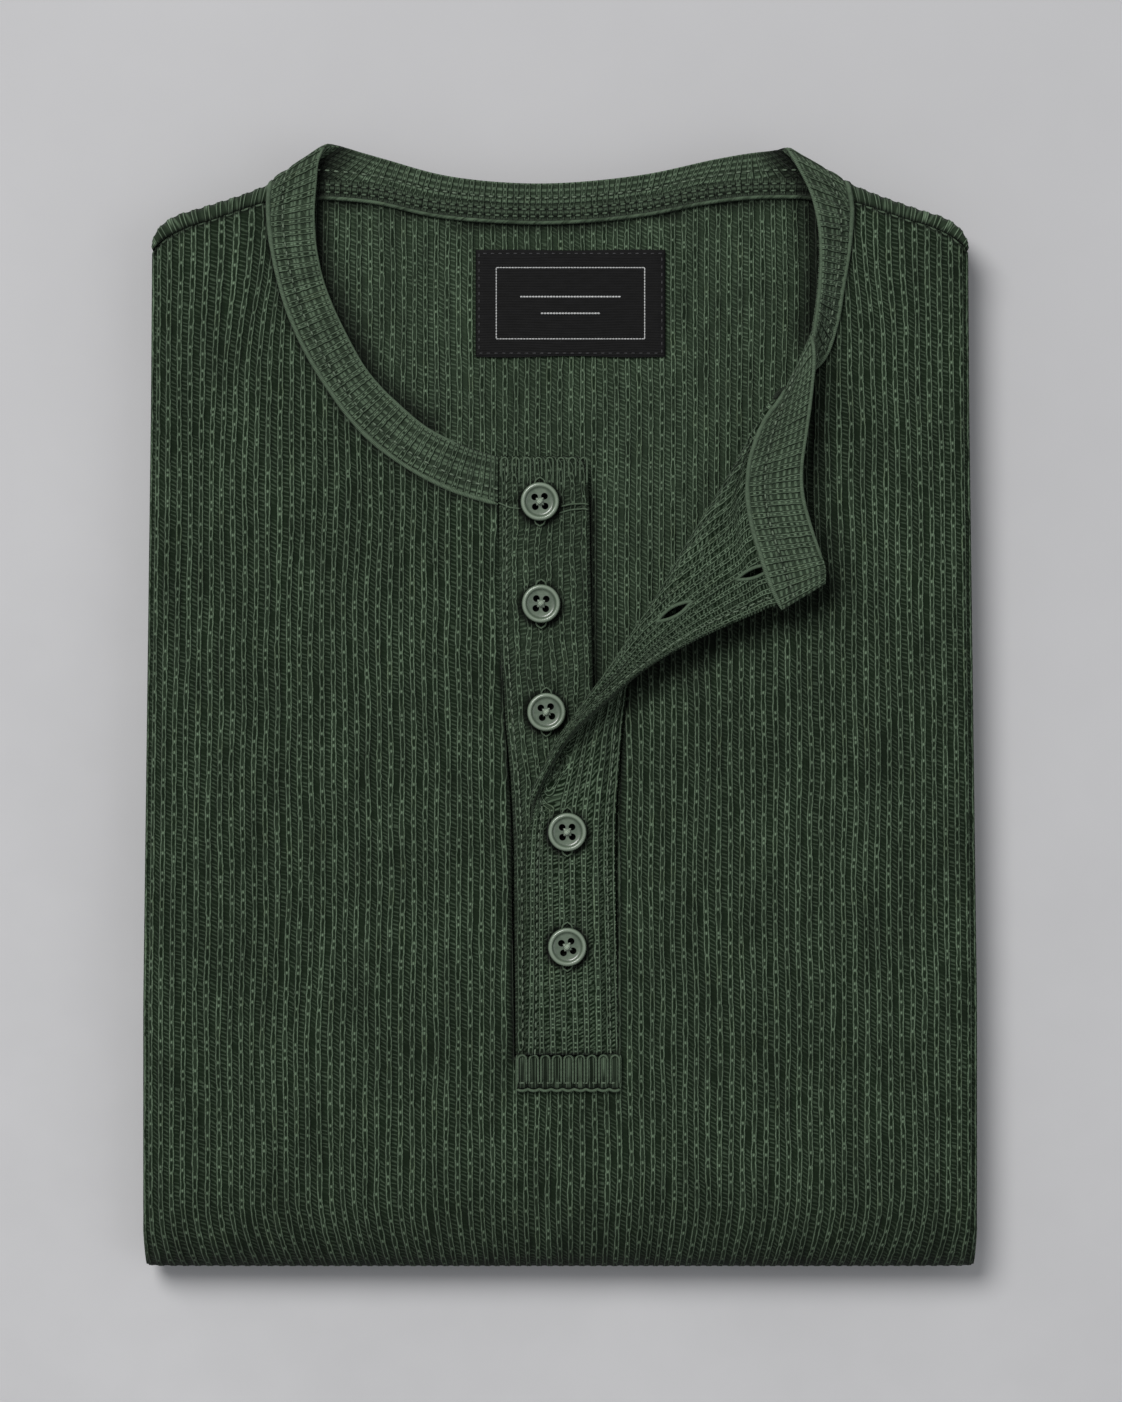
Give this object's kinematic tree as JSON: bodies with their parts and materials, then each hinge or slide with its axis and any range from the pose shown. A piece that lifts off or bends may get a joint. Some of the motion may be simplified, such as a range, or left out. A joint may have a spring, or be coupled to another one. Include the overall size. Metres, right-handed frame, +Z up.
{
  "type": "folded henley shirt",
  "caption": "Long-sleeved ribbed knit henley shirt, folded flat with its buttoned neck placket partly open and turned back.",
  "frame": {"origin": "middle of the folded shirt's box, on the surface that it lies on", "axes": "+Z up through the layers of cloth, +Y along the shirt from the bottom fold to the neck, +X across it"},
  "size_m": [0.282, 0.377, 0.0367],
  "materials": {
    "rib_knit": "heavy cotton rib knit, matte, dark green with paler loops",
    "tape": "fine knitted seam tape with a piped edge, matte",
    "label_cloth": "dense satin-woven label, slight sheen",
    "button_plastic": "polished grey-green button with a satin dish"
  },
  "bodies": {
    "root": {"folded_layers": "rib_knit", "back_panel": "rib_knit", "front_panel": "rib_knit", "neckband": "rib_knit", "neck_tape": "tape", "neck_label": "label_cloth", "button_placket": "rib_knit", "buttonhole_placket": "rib_knit", "placket_box": "rib_knit", "button_1": "button_plastic", "button_2": "button_plastic", "button_3": "button_plastic", "button_4": "button_plastic", "button_5": "button_plastic"}
  },
  "joints": []
}
